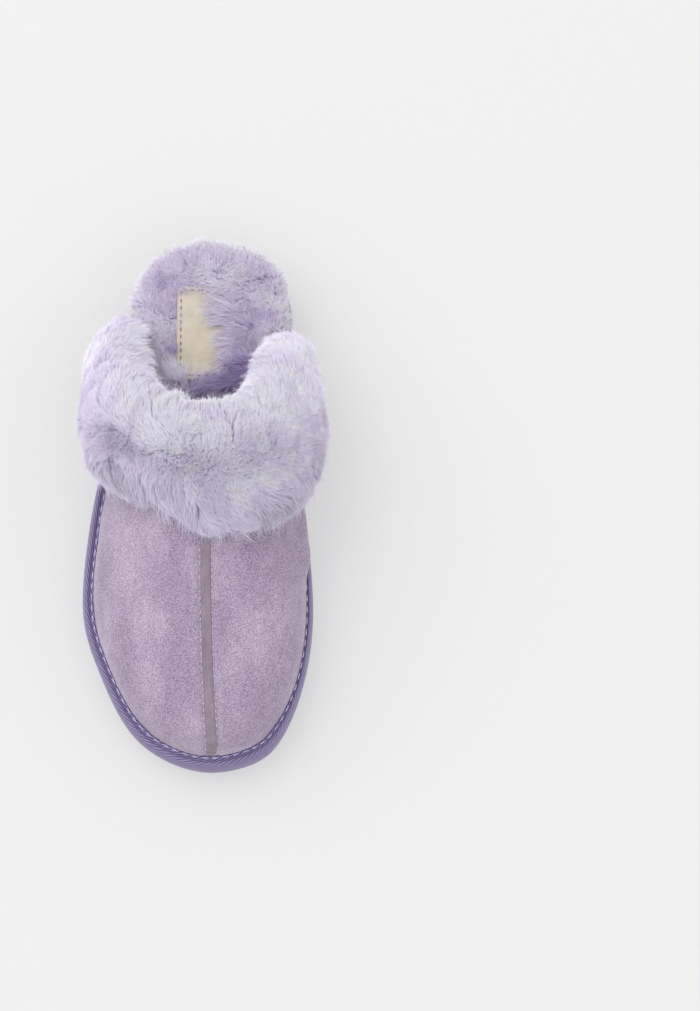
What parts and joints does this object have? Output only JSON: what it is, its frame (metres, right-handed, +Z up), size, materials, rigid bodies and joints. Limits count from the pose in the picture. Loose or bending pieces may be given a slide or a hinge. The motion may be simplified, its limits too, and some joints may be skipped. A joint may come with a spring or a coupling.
{
  "type": "house slipper",
  "caption": "Backless house slipper with a suede vamp, a centre tape, a turned-down sheepskin cuff, fleece lining and a wrapped platform sole.",
  "frame": {"origin": "on the floor, at the middle of the sole's length", "axes": "+Z up, -Y towards the toe, +X towards the inner side of the foot (this is a right slipper)"},
  "size_m": [0.1174, 0.2567, 0.0888],
  "materials": {
    "outsole_rubber": "matte",
    "foam": "matte",
    "twill": "matte",
    "board": "matte",
    "fleece": "matte",
    "label": "satin",
    "thread": "satin",
    "suede": "matte",
    "tape": "satin",
    "knit": "matte",
    "hide": "matte",
    "wool": "matte"
  },
  "bodies": {
    "root": {"outsole": "outsole_rubber", "midsole": "foam", "platform_wrap": "twill", "sock_board": "board", "footbed_foam": "foam", "footbed_fleece": "fleece", "heel_label": "label", "label_stitching": "thread", "vamp_lateral": "suede", "vamp_medial": "suede", "centre_tape": "tape", "closing_stitches": "thread", "tape_stitches_lateral": "thread", "tape_stitches_medial": "thread", "vamp_lining": "knit", "vamp_fleece": "fleece", "cuff_hide": "hide", "cuff_wool": "wool", "topline_stitches": "thread", "sole_seam_stitches": "thread", "heel_seam_stitches": "thread"}
  },
  "joints": []
}
